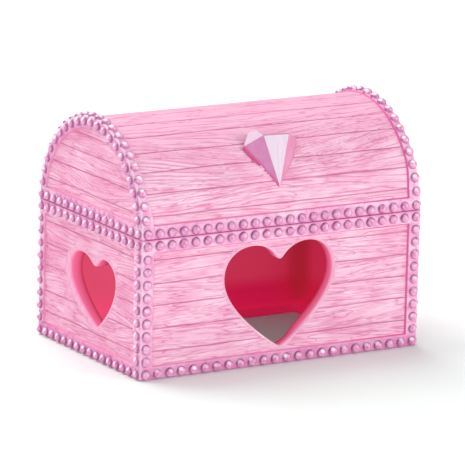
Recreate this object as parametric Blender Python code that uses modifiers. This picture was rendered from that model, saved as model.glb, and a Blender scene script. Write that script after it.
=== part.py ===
"""Treasure chest ornament: one hollow resin casting with a barrel lid moulded shut.

Hearts open through the front and the left end, rows of domed beads edge every face,
a half gem lies on the front slope of the lid, and the floor has a large opening.

Metres, +Z up. The origin is on the ground under the middle of the chest, +X runs along
its length and -Y is the front.
"""
import math

import bmesh
import bpy
from mathutils import Matrix, Vector

# Driving dimensions
LENGTH = 0.132
DEPTH = 0.0865
SEAM_HEIGHT = 0.058
LID_RISE = 0.0422
WALL = 0.0055
FLOOR = 0.004
EDGE_CHAMFER = 0.0006

# Bead bands along every edge, and the panels sunk between them
BAND = LENGTH / 24
PANEL_DROP = 0.0009
BEADS_ALONG_LENGTH = 24
BEADS_ALONG_DEPTH = 16
BEADS_UP_WALL = 11
BEADS_OVER_LID = 24
BEADS_ROUND_END = 23
END_PANEL_STEPS = 16
BEAD_RADIUS = 0.00215
BEAD_TOP_RADIUS = 0.0011
BEAD_HEIGHT = 0.0013
BEAD_SUNK = 0.0003
BEAD_SIDES = 5
HIDDEN_BEAD_SIDES = 4

# Seam between box and lid, and the lines between the planks
SEAM_HALF_WIDTH = 0.0005
SEAM_DEPTH = 0.0009
SEAM_STOP = 0.0016
PLANK = 0.00955
FIRST_PLANK = 0.0108
BOX_PLANKS = 5
END_LID_PLANKS = (0.067, 0.0755, 0.084, 0.092)
LID_PLANK_STEP = 2
PLANK_HALF_WIDTH = 0.00035
PLANK_DEPTH = 0.0003
PLANK_MARGIN = 0.0004

# Hollow inside, its rounded corners, and the opening in the floor
CAVITY_ROUND = 0.007
CAVITY_ROUND_STEPS = 2
CAVITY_LID_STEPS = 14
FLOOR_LIP = 0.0165
FLOOR_CORNER = 0.003
FLOOR_CORNER_STEPS = 3

# Hearts, as seen from outside: across and up from the middle of the wall's foot
FRONT_HEART = {
    "tip": (-0.0013, 0.0086),
    "right_side": (0.0241, 0.0376),
    "right_lobe": (0.0125, 0.0504),
    "notch": (-0.0008, 0.0443),
    "left_lobe": (-0.0130, 0.0504),
    "left_side": (-0.0263, 0.0378),
}
END_HEART = {
    "tip": (0.0050, 0.0154),
    "right_side": (0.0182, 0.0335),
    "right_lobe": (0.0082, 0.0420),
    "notch": (0.0023, 0.0384),
    "left_lobe": (-0.0088, 0.0420),
    "left_side": (-0.0178, 0.0333),
}
HEART_STEPS = 5
HEART_RIM = 0.0012

# Where the curve's handles stand: shares of the way across and up from a point to its neighbour
HEART_HANDLES = {
    ("tip", "side"): (0.35, 0.195),
    ("side", "tip"): (0, 0.39),
    ("side", "lobe"): (0, 0.62),
    ("lobe", "side"): (0.57, 0),
    ("lobe", "notch"): (0.51, 0),
    ("notch", "lobe"): (0.12, 0.49),
}

# Half gem: a hexagonal brilliant cut through its length, point down the slope
GEM_X = 0.0015
GEM_LIFT = math.radians(48.5)
GEM_HALF_WIDTH = 0.013
GEM_SHOULDER = 0.0059
GEM_HEIGHT = 0.007
GEM_EDGE = 0.0012
GEM_POINT = 0.0181
GEM_POINT_FALL = 0.0027
GEM_TABLE = 0.0068
GEM_TABLE_FOOT = 0.0076
GEM_TABLE_SHOULDER = 0.0050
GEM_TABLE_HEIGHT = 0.0032
GEM_ROOT = 0.0052

# The lid's arc passes through both seams and the crown
HALF_DEPTH = DEPTH / 2
LID_RADIUS = (HALF_DEPTH ** 2 + LID_RISE ** 2) / (2 * LID_RISE)
LID_CENTRE = SEAM_HEIGHT + LID_RISE - LID_RADIUS
LID_START = math.asin((SEAM_HEIGHT - LID_CENTRE) / LID_RADIUS)
LID_SWEEP = math.pi - 2 * LID_START

# How far cutters run past what they cut, which edges a bevel rounds, and how curves close
CLEARANCE = 0.002
SHARP_ANGLE = math.radians(60)
ROUND_PROFILE = 0.5
MERGE_DISTANCE = 1e-6

PEARL_PINK = (0.83, 0.32, 0.52, 1)


def collection(name):
    """New collection in the scene."""
    made = bpy.data.collections.new(name)
    bpy.context.scene.collection.children.link(made)
    return made


def mesh_object(name, bm, group):
    """Object made from a bmesh, in the given collection."""
    mesh = bpy.data.meshes.new(name)
    bm.to_mesh(mesh)
    bm.free()
    obj = bpy.data.objects.new(name, mesh)
    group.objects.link(obj)
    return obj


def cutter(obj):
    """Marks an object as a cutter or a shape to be joined, which isn't a part itself."""
    obj.display_type = "WIRE"
    obj.hide_render = True
    return obj


def arc_point(radius, angle):
    """Point (y, z) on an arc about the lid's axis, angle 0 at the front and pi at the back."""
    return (-radius * math.cos(angle), LID_CENTRE + radius * math.sin(angle))


def lid_arc(radius, steps, start=LID_START, sweep=LID_SWEEP):
    """Points (y, z) of an arc about the lid's axis, from front to back."""
    return [arc_point(radius, start + sweep * i / steps) for i in range(steps + 1)]


def barrel_outline(inset, foot, steps):
    """Outline (y, z) of the chest seen from its end: two walls under a round lid."""
    side = HALF_DEPTH - inset
    return [(-side, foot)] + lid_arc(LID_RADIUS - inset, steps) + [(side, foot)]


def flat_face(name, outline, handles=None):
    """Bmesh of one flat face in XY, filled from a 2D curve through the outline's points."""
    curve = bpy.data.curves.new(name, "CURVE")
    curve.dimensions = "2D"
    curve.fill_mode = "BOTH"
    curve.resolution_u = HEART_STEPS
    if handles:
        spline = curve.splines.new("BEZIER")
        spline.bezier_points.add(len(outline) - 1)
        for point, place, (before, after) in zip(spline.bezier_points, outline, handles):
            point.handle_left_type = "FREE"
            point.handle_right_type = "FREE"
            point.co = (*place, 0)
            point.handle_left = (*before, 0)
            point.handle_right = (*after, 0)
    else:
        spline = curve.splines.new("POLY")
        spline.points.add(len(outline) - 1)
        for point, place in zip(spline.points, outline):
            point.co = (*place, 0, 1)
    spline.use_cyclic_u = True
    guide = bpy.data.objects.new(name, curve)
    bpy.context.scene.collection.objects.link(guide)
    bpy.context.view_layer.update()
    evaluated = guide.evaluated_get(bpy.context.evaluated_depsgraph_get())
    filled = bpy.data.meshes.new_from_object(evaluated)
    bm = bmesh.new()
    bm.from_mesh(filled)
    bmesh.ops.remove_doubles(bm, verts=bm.verts, dist=MERGE_DISTANCE)
    bmesh.ops.dissolve_faces(bm, faces=bm.faces)
    bpy.data.meshes.remove(filled)
    bpy.data.objects.remove(guide)
    bpy.data.curves.remove(curve)
    return bm


def extend(bm, face):
    """Grows walls from a face's edges and returns the new face that closes them."""
    ends_solid = len(face.edges[0].link_faces) > 1
    grown = bmesh.ops.extrude_face_region(bm, geom=[face])["geom"]
    if ends_solid:
        bmesh.ops.delete(bm, geom=[face], context="FACES_ONLY")
    return next(item for item in grown if isinstance(item, bmesh.types.BMFace))


def reshape(face, rise, scale=1.0, centre=(0, 0)):
    """Lifts a face along Z and scales it about a centre."""
    about = Vector((*centre, 0))
    for vert in face.verts:
        flat = Vector((vert.co.x, vert.co.y, 0)) - about
        vert.co = about + flat * scale + Vector((0, 0, vert.co.z + rise))


def prism(name, outline, thickness, placement, group):
    """Flat outline pulled up to a thickness, centred on its plane, then placed."""
    bm = flat_face(name, outline)
    face = next(iter(bm.faces))
    reshape(face, -thickness / 2)
    reshape(extend(bm, face), thickness)
    bmesh.ops.recalc_face_normals(bm, faces=bm.faces)
    bmesh.ops.transform(bm, matrix=placement, verts=bm.verts)
    return mesh_object(name, bm, group)


# A local outline's X, Y and thickness become these directions in the chest
ACROSS_END = Matrix(((0, 0, 1, 0), (1, 0, 0, 0), (0, 1, 0, 0), (0, 0, 0, 1)))
ON_FRONT = Matrix(((1, 0, 0, 0), (0, 0, -1, 0), (0, 1, 0, 0), (0, 0, 0, 1)))


def add_box(bm, low, high):
    """Adds a box between two corners."""
    centre = (Vector(low) + Vector(high)) / 2
    size = Vector(high) - Vector(low)
    matrix = Matrix.Translation(centre) @ Matrix.Diagonal((*size, 1))
    bmesh.ops.create_cube(bm, size=1, matrix=matrix)


def outer_body(group):
    """Closed barrel-topped block, its long edges chamfered."""
    outline = barrel_outline(0, 0, BEADS_OVER_LID)
    body = prism("chest", outline, LENGTH, ACROSS_END, group)
    bevel = body.modifiers.new("edge chamfer", "BEVEL")
    bevel.width = EDGE_CHAMFER
    bevel.segments = 1
    bevel.limit_method = "ANGLE"
    bevel.angle_limit = SHARP_ANGLE
    return body


def box_panels(group):
    """Cutters for the sunk panels of the four walls."""
    bm = bmesh.new()
    low, high = BAND, SEAM_HEIGHT - BAND
    for side in (-1, 1):
        inner = side * (HALF_DEPTH - PANEL_DROP)
        outer = side * (HALF_DEPTH + CLEARANCE)
        half = LENGTH / 2 - BAND
        add_box(bm, (-half, min(inner, outer), low), (half, max(inner, outer), high))
        inner = side * (LENGTH / 2 - PANEL_DROP)
        outer = side * (LENGTH / 2 + CLEARANCE)
        half = HALF_DEPTH - BAND
        add_box(bm, (min(inner, outer), -half, low), (max(inner, outer), half, high))
    return cutter(mesh_object("box panel cutters", bm, group))


def lid_panel(group):
    """Cutter for the lid's sunk panel, from the front bead row over to the back one."""
    step = LID_SWEEP / BEADS_OVER_LID
    start, sweep = LID_START + step, LID_SWEEP - 2 * step
    steps = BEADS_OVER_LID - 2
    inner = lid_arc(LID_RADIUS - PANEL_DROP, steps, start, sweep)
    outer = lid_arc(LID_RADIUS + CLEARANCE, steps, start, sweep)
    outline = inner + outer[::-1]
    return cutter(prism("lid panel cutter", outline, LENGTH - 2 * BAND, ACROSS_END, group))


def end_lid_panel(side, group):
    """Cutter for the half round sunk panel at one end of the lid."""
    radius = LID_RADIUS - BAND
    start = math.asin((SEAM_HEIGHT + BAND - LID_CENTRE) / radius)
    outline = lid_arc(radius, END_PANEL_STEPS, start, math.pi - 2 * start)
    thickness = PANEL_DROP + CLEARANCE
    middle = side * (LENGTH / 2 - PANEL_DROP + thickness / 2)
    placement = Matrix.Translation((middle, 0, 0)) @ ACROSS_END
    return cutter(prism(f"end panel cutter {side}", outline, thickness, placement, group))


def add_groove(bm, centre, along, out, length, half_width, depth):
    """Adds a three sided bar: it cuts a V groove at centre, running along, open towards out."""
    bar = bmesh.ops.create_cone(bm, cap_ends=True, segments=3, radius1=1, radius2=1, depth=length)
    centre, along, out = Vector(centre), Vector(along), Vector(out)
    across = along.cross(out) * half_width * (depth + CLEARANCE) / depth
    for vert in bar["verts"]:
        slide = centre + along * vert.co.z
        if vert.co.y > 0:
            vert.co = slide - out * depth
        else:
            vert.co = slide + out * CLEARANCE + across * math.copysign(1, vert.co.x)


def seam(group):
    """Cutters for the seam line on each of the four faces; it stops short of the corners."""
    bm = bmesh.new()
    for side in (-1, 1):
        size = (SEAM_HALF_WIDTH, SEAM_DEPTH)
        front = (0, side * HALF_DEPTH, SEAM_HEIGHT)
        add_groove(bm, front, (1, 0, 0), (0, side, 0), LENGTH - 2 * SEAM_STOP, *size)
        end = (side * LENGTH / 2, 0, SEAM_HEIGHT)
        add_groove(bm, end, (0, 1, 0), (side, 0, 0), DEPTH - 2 * SEAM_STOP, *size)
    bmesh.ops.recalc_face_normals(bm, faces=bm.faces)
    return cutter(mesh_object("seam cutters", bm, group))


def plank_lines(group):
    """Cutters for the lines between planks, all round the box and over the lid."""
    bm = bmesh.new()
    size = (PLANK_HALF_WIDTH, PLANK_DEPTH)
    margin = BAND + PLANK_MARGIN
    for side in (-1, 1):
        face = side * (HALF_DEPTH - PANEL_DROP)
        end = side * (LENGTH / 2 - PANEL_DROP)
        for i in range(BOX_PLANKS):
            level = FIRST_PLANK + PLANK * i
            add_groove(bm, (0, face, level), (1, 0, 0), (0, side, 0), LENGTH - 2 * margin, *size)
            add_groove(bm, (end, 0, level), (0, 1, 0), (side, 0, 0), DEPTH - 2 * margin, *size)
        for level in END_LID_PLANKS:
            half = math.sqrt((LID_RADIUS - margin) ** 2 - (level - LID_CENTRE) ** 2) - PLANK_MARGIN
            add_groove(bm, (end, 0, level), (0, 1, 0), (side, 0, 0), 2 * half, *size)
    step = LID_SWEEP / BEADS_OVER_LID
    flat_radius = (LID_RADIUS - PANEL_DROP) * math.cos(step / 2)
    for i in range(LID_PLANK_STEP, BEADS_OVER_LID - 1, LID_PLANK_STEP):
        angle = LID_START + step * (i - 0.5)
        place = (0, *arc_point(flat_radius, angle))
        out = (0, -math.cos(angle), math.sin(angle))
        add_groove(bm, place, (1, 0, 0), out, LENGTH - 2 * margin, *size)
    bmesh.ops.recalc_face_normals(bm, faces=bm.faces)
    return cutter(mesh_object("plank cutters", bm, group))


def bead_shape(sides):
    """Mesh of one bead, a low dome of few sides; its foot is sunk below the ground it sits on."""
    bm = bmesh.new()
    middle = (BEAD_HEIGHT - BEAD_SUNK) / 2
    bmesh.ops.create_cone(
        bm,
        cap_ends=True,
        segments=sides,
        radius1=BEAD_RADIUS,
        radius2=BEAD_TOP_RADIUS,
        depth=BEAD_HEIGHT + BEAD_SUNK,
        matrix=Matrix.Translation((0, 0, middle)),
    )
    shape = bpy.data.meshes.new(f"bead {sides}")
    bm.to_mesh(shape)
    bm.free()
    return shape


def bead_places():
    """Every bead's place, with the direction it faces and the direction of its row."""
    places = []
    along_x = [LENGTH * ((i + 0.5) / BEADS_ALONG_LENGTH - 0.5) for i in range(BEADS_ALONG_LENGTH)]
    along_y = [DEPTH * ((i + 0.5) / BEADS_ALONG_DEPTH - 0.5) for i in range(BEADS_ALONG_DEPTH)]
    up_wall = (SEAM_HEIGHT - BAND) / (BEADS_UP_WALL - 1)
    columns = [BAND / 2 + up_wall * i for i in range(1, BEADS_UP_WALL - 1)]
    rows = (BAND / 2, SEAM_HEIGHT - BAND / 2, SEAM_HEIGHT + BAND / 2)
    for side in (-1, 1):
        face = side * HALF_DEPTH
        out = (0, side, 0)
        places += [((x, face, z), out, (1, 0, 0)) for z in rows[:2] for x in along_x]
        places += [((x, face, z), out, (0, 0, 1)) for x in (along_x[0], along_x[-1]) for z in columns]
        end = side * LENGTH / 2
        out = (side, 0, 0)
        places += [((end, y, z), out, (0, 1, 0)) for z in rows for y in along_y]
        places += [((end, y, z), out, (0, 0, 1)) for y in (along_y[0], along_y[-1]) for z in columns]
        radius = LID_RADIUS - BAND / 2
        start = math.asin((rows[2] - LID_CENTRE) / radius)
        for i in range(1, BEADS_ROUND_END - 1):
            angle = start + (math.pi - 2 * start) * i / (BEADS_ROUND_END - 1)
            run = (0, math.sin(angle), math.cos(angle))
            places.append(((end, *arc_point(radius, angle)), out, run))
    step = LID_SWEEP / BEADS_OVER_LID
    flat_radius = LID_RADIUS * math.cos(step / 2)
    for i in range(BEADS_OVER_LID):
        angle = LID_START + step * (i + 0.5)
        out = (0, -math.cos(angle), math.sin(angle))
        row = along_x if i in (0, BEADS_OVER_LID - 1) else (along_x[0], along_x[-1])
        places += [((x, *arc_point(flat_radius, angle)), out, (1, 0, 0)) for x in row]
    return places


def beads(group):
    """All beads in one mesh, to be joined to the body; the back and right end have plainer ones."""
    near, far = bead_shape(BEAD_SIDES), bead_shape(HIDDEN_BEAD_SIDES)
    bm = bmesh.new()
    for place, out, run in bead_places():
        first = len(bm.verts)
        bm.from_mesh(far if max(out[0], out[1]) > 0 else near)
        bm.verts.ensure_lookup_table()
        out, run = Vector(out), Vector(run)
        turn = Matrix((run, out.cross(run), out)).transposed().to_4x4()
        matrix = Matrix.Translation(place) @ turn
        bmesh.ops.transform(bm, matrix=matrix, verts=bm.verts[first:])
    for shape in (near, far):
        bpy.data.meshes.remove(shape)
    bmesh.ops.recalc_face_normals(bm, faces=bm.faces)
    return cutter(mesh_object("beads", bm, group))


def gem(group):
    """Half gem, point down the slope; its root is sunk in the lid."""
    bm = bmesh.new()
    girdle = [(-GEM_HALF_WIDTH, GEM_EDGE), (-GEM_SHOULDER, GEM_HEIGHT)]
    table = [(-GEM_TABLE_FOOT, 0), (-GEM_TABLE_SHOULDER, GEM_TABLE_HEIGHT)]
    corners = [(x, 0, h) for x, h in girdle]
    corners += [(x, GEM_TABLE, h) for x, h in table]
    corners += [(-GEM_HALF_WIDTH, 0, -GEM_ROOT), (-GEM_TABLE_FOOT, GEM_TABLE, -GEM_ROOT)]
    corners += [(-x, slope, h) for x, slope, h in corners]
    corners += [(0, -GEM_POINT, -GEM_POINT_FALL), (0, -GEM_POINT, -GEM_ROOT)]
    for corner in corners:
        bm.verts.new(corner)
    bmesh.ops.convex_hull(bm, input=bm.verts)
    bmesh.ops.recalc_face_normals(bm, faces=bm.faces)
    sine, cosine = math.sin(GEM_LIFT), math.cos(GEM_LIFT)
    foot = arc_point(LID_RADIUS - PANEL_DROP, GEM_LIFT)
    lie = Matrix(((1, 0, 0, GEM_X), (0, sine, -cosine, foot[0]), (0, cosine, sine, foot[1]), (0, 0, 0, 1)))
    bmesh.ops.transform(bm, matrix=lie, verts=bm.verts)
    return cutter(mesh_object("gem", bm, group))


def cavity(group):
    """Cutter for the hollow inside, its corners rounded where walls, lid and floor meet."""
    outline = barrel_outline(WALL, FLOOR, CAVITY_LID_STEPS)
    hollow = prism("cavity cutter", outline, LENGTH - 2 * WALL, ACROSS_END, group)
    bevel = hollow.modifiers.new("rounded corners", "BEVEL")
    bevel.width = CAVITY_ROUND
    bevel.segments = CAVITY_ROUND_STEPS
    bevel.limit_method = "ANGLE"
    bevel.angle_limit = SHARP_ANGLE
    return cutter(hollow)


def floor_opening(group):
    """Cutter for the large opening in the floor."""
    bm = bmesh.new()
    across = LENGTH / 2 - FLOOR_LIP
    deep = HALF_DEPTH - FLOOR_LIP
    add_box(bm, (-across, -deep, -CLEARANCE), (across, deep, FLOOR + CLEARANCE))
    upright = [edge for edge in bm.edges if abs(edge.verts[0].co.z - edge.verts[1].co.z) > FLOOR]
    bmesh.ops.bevel(
        bm,
        geom=upright,
        offset=FLOOR_CORNER,
        segments=FLOOR_CORNER_STEPS,
        profile=ROUND_PROFILE,
        affect="EDGES",
    )
    return cutter(mesh_object("floor cutter", bm, group))


def heart_handle(heart, name, neighbour):
    """Handle of a heart's curve point on the side of its neighbour."""
    across, up = HEART_HANDLES[name.split("_")[-1], neighbour.split("_")[-1]]
    start, end = heart[name], heart[neighbour]
    return (start[0] + (end[0] - start[0]) * across, start[1] + (end[1] - start[1]) * up)


def heart_curve(heart):
    """Curve points of a heart, round from its tip, with each point's two handles."""
    names = list(heart)
    handles = []
    for i, name in enumerate(names):
        before, after = names[i - 1], names[(i + 1) % len(names)]
        handles.append((heart_handle(heart, name, before), heart_handle(heart, name, after)))
    return list(heart.values()), handles


def heart_hole(name, heart, placement, group):
    """Cutter for a heart through a wall; its mouth widens to ease the outer rim."""
    outline, handles = heart_curve(heart)
    middle = ((heart["left_side"][0] + heart["right_side"][0]) / 2, heart["left_side"][1])
    half = (heart["right_side"][0] - heart["left_side"][0]) / 2
    wide = 1 + HEART_RIM / half
    flare = 1 + (HEART_RIM + PANEL_DROP + CLEARANCE) / half
    levels = [
        (-WALL - CLEARANCE, 1),
        (-PANEL_DROP - HEART_RIM, 1),
        (-PANEL_DROP, wide),
        (CLEARANCE, flare),
    ]
    bm = flat_face(name, outline, handles)
    face = next(iter(bm.faces))
    depth, size = 0, 1
    for step, (level, scale) in enumerate(levels):
        if step:
            face = extend(bm, face)
        reshape(face, level - depth, scale / size, middle)
        depth, size = level, scale
    bmesh.ops.recalc_face_normals(bm, faces=bm.faces)
    bmesh.ops.transform(bm, matrix=placement, verts=bm.verts)
    return cutter(mesh_object(name, bm, group))


def resin():
    """Pearly pink cast resin."""
    material = bpy.data.materials.new("pearl pink resin")
    material.use_nodes = True
    shader = material.node_tree.nodes["Principled BSDF"]
    shader.inputs["Base Color"].default_value = PEARL_PINK
    shader.inputs["Roughness"].default_value = 0.35
    shader.inputs["Metallic"].default_value = 0.0
    return material


def main():
    """Builds the chest from its body, then cuts and joins everything on it."""
    for obj in list(bpy.data.objects):
        bpy.data.objects.remove(obj)
    parts = collection("treasure chest")
    tools = collection("cutters")

    chest = outer_body(parts)
    on_front = Matrix.Translation((0, -HALF_DEPTH, 0)) @ ON_FRONT
    turn_left = Matrix.Rotation(-math.pi / 2, 4, "Z")
    on_left_end = Matrix.Translation((-LENGTH / 2, 0, 0)) @ turn_left @ ON_FRONT
    steps = [
        ("DIFFERENCE", box_panels(tools)),
        ("DIFFERENCE", lid_panel(tools)),
        ("DIFFERENCE", end_lid_panel(-1, tools)),
        ("DIFFERENCE", end_lid_panel(1, tools)),
        ("DIFFERENCE", plank_lines(tools)),
        ("DIFFERENCE", seam(tools)),
        ("UNION", gem(tools)),
        ("UNION", beads(tools)),
        ("DIFFERENCE", cavity(tools)),
        ("DIFFERENCE", floor_opening(tools)),
        ("DIFFERENCE", heart_hole("front heart cutter", FRONT_HEART, on_front, tools)),
        ("DIFFERENCE", heart_hole("end heart cutter", END_HEART, on_left_end, tools)),
    ]
    for operation, tool in steps:
        boolean = chest.modifiers.new(tool.name, "BOOLEAN")
        boolean.operation = operation
        boolean.solver = "EXACT"
        boolean.object = tool
    chest.data.materials.append(resin())


main()
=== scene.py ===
"""Looks of the treasure chest ornament: one pearly pink resin casting, crimson inside.

Its panels are carved as planks, rows of beads edge every face, a half gem lies on the lid,
and hearts open through the front and the left end. Everything is in metres.
"""
from math import asin, cos, pi, radians, sin, sqrt, tan

import bmesh
import bpy
import numpy as np
from mathutils import Matrix, Vector
from mathutils.geometry import delaunay_2d_cdt


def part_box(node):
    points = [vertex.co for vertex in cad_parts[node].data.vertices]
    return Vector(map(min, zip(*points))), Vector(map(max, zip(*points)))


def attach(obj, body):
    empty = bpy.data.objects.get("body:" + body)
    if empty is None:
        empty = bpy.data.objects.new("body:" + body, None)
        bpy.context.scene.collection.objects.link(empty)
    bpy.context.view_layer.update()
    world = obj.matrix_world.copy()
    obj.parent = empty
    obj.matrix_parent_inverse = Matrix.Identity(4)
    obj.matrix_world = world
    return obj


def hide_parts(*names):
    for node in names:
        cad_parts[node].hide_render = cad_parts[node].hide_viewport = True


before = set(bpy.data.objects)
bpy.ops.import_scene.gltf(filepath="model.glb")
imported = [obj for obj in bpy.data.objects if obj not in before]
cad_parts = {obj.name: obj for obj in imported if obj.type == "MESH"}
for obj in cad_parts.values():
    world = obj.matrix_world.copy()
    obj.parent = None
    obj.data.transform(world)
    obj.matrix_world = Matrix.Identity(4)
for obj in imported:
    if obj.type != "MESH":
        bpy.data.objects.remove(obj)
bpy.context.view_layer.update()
chest_low, chest_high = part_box("chest")

MM = 0.001


def in_metres(points):
    """Named points given in millimetres."""
    return {name: MM * np.array(point) for name, point in points.items()}


# Sizes of the casting; its length and depth come from the frame, less the beads on each side
PLAIN_BEAD_HEIGHT = 1.3 * MM
LENGTH = chest_high.x - chest_low.x - 2 * PLAIN_BEAD_HEIGHT
DEPTH = chest_high.y - chest_low.y - 2 * PLAIN_BEAD_HEIGHT
SEAM_HEIGHT = 58 * MM
LID_RISE = 42.2 * MM
WALL = 7.0 * MM
FLOOR = 4 * MM
LID_RADIUS = ((DEPTH / 2) ** 2 + LID_RISE ** 2) / (2 * LID_RISE)
LID_CENTRE = SEAM_HEIGHT + LID_RISE - LID_RADIUS
LID_START = asin((SEAM_HEIGHT - LID_CENTRE) / LID_RADIUS)
LID_SWEEP = pi - 2 * LID_START

# Bead bands, the panels sunk between them, and the seam between box and lid
BAND = LENGTH / 24
PANEL_DROP = 0.9 * MM
STEP_WIDTH = 0.25 * MM
SEAM_HALF_WIDTH = 0.22 * MM
SEAM_DEPTH = 0.5 * MM
SEAM_STOP = 2.2 * MM
END_SHIFT = 1.3 * MM
EDGE_ROUND = 1.1 * MM
EDGE_STEPS = 4
RIB = 0.25 * MM

# Heights between which an end's rows of points turn from level with the seam to parallel with the arch
SEAM_REACH = (SEAM_HEIGHT + 1.5 * BAND, SEAM_HEIGHT + 4 * BAND)

# Over the arches the band narrows: by how much, from where to where up the lid, and how far in
ARCH_NARROWS = 1.5 * MM
ARCH_START = (6 * MM, 22 * MM)
ARCH_REACH = 4 * BAND

# Rounded inside, and the opening in the floor
INSIDE_ROUND = 7 * MM
INSIDE_STEPS = 5
FLOOR_LIP = 16.5 * MM
FLOOR_CORNER = 2 * MM
FLOOR_CORNER_STEPS = 6
FLOOR_RIM = 0.6 * MM
FLOOR_RIM_STEPS = 3

# Mesh pitches along and across the planks: where the carving is fine, and on the far sides
FINE = (1.15 * MM, 0.46 * MM)
FAR = (2.6 * MM, 0.62 * MM)

# The share of the lid that is fine, and the one pitch of the inside and the underside
FINE_OVER_LID = 0.56
PLAIN = 3 * MM

# Beads
BEADS_ALONG_LENGTH = 24
BEADS_ALONG_DEPTH = 16
BEADS_UP_WALL = 11
BEADS_OVER_LID = 24
BEADS_ROUND_END = 23
BEAD_RADIUS = 2.05 * MM
BEAD_HEIGHT = 1.7 * MM
BEAD_SUNK = 0.5 * MM
BEAD_INSET = 2.4 * MM
ARCH_BEAD_INSET = 1.9 * MM
END_BEAD_SHIFT = 0.6 * MM
BEADS_UNDER_SEAM = 2.75 * MM
BEADS_OVER_SEAM = 2.2 * MM
BEAD_SEGMENTS = 20
BEAD_RINGS = 6
BEAD_SEED = 5
BEAD_SIZES = (0.93, 1.03)
END_BEAD_SIZE = 0.93

# The ways that the beads' painted shade side and their painted highlight face, how the highlight's way
# varies, and its soft edge
PAINTED_SHADE_SIDE = Vector((-0.5, 0, 0.85))
END_PAINTED_SHADE_SIDE = Vector((0, -0.75, -0.5))
PAINTED_HIGHLIGHT_WAY = Vector((-0.35, -0.6, 0.7)).normalized()
END_PAINTED_HIGHLIGHT_WAY = Vector((-0.8, 0.05, 0.6)).normalized()
PAINTED_HIGHLIGHT_SPREAD = 0.2
PAINTED_HIGHLIGHT_EDGE = (0.84, 0.95)

# Strength of the painted highlight by place, and the beads' own tints, deeper at the foot and by the seam
PAINTED_HIGHLIGHT_STRENGTHS = {"end": 0.85, "arch": 0.8, "corner": 0.4, "seam": 0.2}
FOOT_HIGHLIGHT_STRENGTHS = (0.2, 1)
BEAD_TINTS = (0, 0.6)
DEEPER_TINT = 0.4

# Hearts, as seen from outside: across and up from the middle of the wall's foot
FRONT_HEART = in_metres({
    "tip": (-0.1, 7.0),
    "right_side": (24.6, 37.6),
    "right_lobe": (12.5, 50.4),
    "notch": (-0.8, 42.1),
    "left_lobe": (-13.0, 50.4),
    "left_side": (-26.8, 37.8),
})
END_HEART = in_metres({
    "tip": (3.9, 13.1),
    "right_side": (19.0, 34.5),
    "right_lobe": (8.8, 42.4),
    "notch": (2.0, 36.6),
    "left_lobe": (-10.2, 42.0),
    "left_side": (-19.9, 33.3),
})

# How far a curve's handle lies from one point of a heart toward the next, across and up
HEART_HANDLES = {
    ("tip", "side"): (0.35, 0.195),
    ("side", "tip"): (0, 0.39),
    ("side", "lobe"): (0, 0.62),
    ("lobe", "side"): (0.57, 0),
    ("lobe", "notch"): (0.51, 0),
    ("notch", "lobe"): (0.12, 0.49),
}

# A heart's points, how its tip and notch are softened, and how far out a moved point has to stay
HEART_CURVE_STEPS = 60
HEART_PITCH = 0.7 * MM
TIP_SOFTNESS = 0.8 * MM
NOTCH_SOFTNESS = 2.4 * MM
NOTCH_REACH = 9 * MM
STILL_OUT = 0.97

# A heart's rims and wall loops, and the width in which the relief fades out there and by a panel's edge
FRONT_RIM = 0.9 * MM
END_RIM = 1.9 * MM
HEART_INNER_RIM = 0.5 * MM
RIM_STEPS = 5
WALL_SHARES = (0.35, 0.5, 0.65)
RELIEF_FADE = 0.8 * MM

# Where a heart's mouth inside differs from the one outside: near which point, how it moves, and the reach
FRONT_DRAW = ("tip", (1.6 * MM, -1.4 * MM), 14 * MM)
END_DRAW = ("left_side", (2.2 * MM, 0.3 * MM), 27 * MM)

# Half gem, point down the slope: across, up the slope, and height over the lid's tangent where it lies
GEM_LIFT = radians(48.5)
GEM_CORNERS = in_metres({
    "left": (-12.1, -1.1, 1.2),
    "left low": (-9.8, -7.1, -0.2),
    "point": (-0.3, -18.7, -3.8),
    "right low": (9.6, -7.6, -0.2),
    "right": (13.8, 0.3, 1.2),
    "back right": (6.5, 5.1, -0.2),
    "back left": (-4.9, 5.5, -0.2),
    "crown": (-5.5, 4.6, 4.3),
    "crown left": (-7.5, 5.3, 1.8),
    "left ridge": (-5.3, -1.0, 8.0),
    "right ridge": (6.5, -1.4, 8.0),
})
GEM_OUTLINE = [name for name in GEM_CORNERS if "ridge" not in name]
GEM_FACETS = [
    ("left", "left low", "point"),
    ("left", "point", "left ridge"),
    ("left ridge", "point", "right ridge"),
    ("right ridge", "point", "right low", "right"),
    ("right ridge", "right", "back right"),
    ("left ridge", "right ridge", "back right", "back left"),
    ("left ridge", "back left", "crown"),
    ("left", "left ridge", "crown", "crown left"),
]
GEM_SEAT = LID_RADIUS - PANEL_DROP
GEM_SUNK = 1.6 * MM
GEM_BEVEL = 0.22 * MM
STRIP_WIDTH = 1.5 * MM

# Camera of the photo, and the floor
CAMERA_LENS = 348.4
CAMERA_SENSOR = 36
CAMERA_SIGHT = 20
CAMERA_TURN = radians(30.995)
CAMERA_TILT = radians(13.248)
CAMERA_ROLL = radians(1.365)
CAMERA_PLACE = Vector((-933.07, -1555.79, 472.81)) * MM
FLOOR_SIZE = 6

# Area lights, with their place, size and power, and the point that all aim at
LIGHTS = {
    "key": ((-0.24, 0.82, 1.1), 1.5, 23),
    "right fill": ((1.0, -1.2, 0.45), 0.8, 12),
    "left fill": ((-1.3, -1.05, 0.35), 0.8, 8.4),
    "inside fill": ((0, 0, 0.06), 0.06, 0.008),
}
LIGHT_AIM = (0, 0, 0.05)
WORLD_STRENGTH = 0.45

# Planks: height of each line on the walls and the ends, and distance up the lid from the seam
PLANK = 9.3 * MM
WALL_LINES = MM * np.array([11.4, 21.0, 30.3, 39.6, 49.2])
END_LINES = MM * np.array([10.6, 19.6, 30.2, 39.6, 49.2, 67.6, 76.0, 84.0, 91.5])
LID_LINES = PLANK * np.arange(1, 15)

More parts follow.
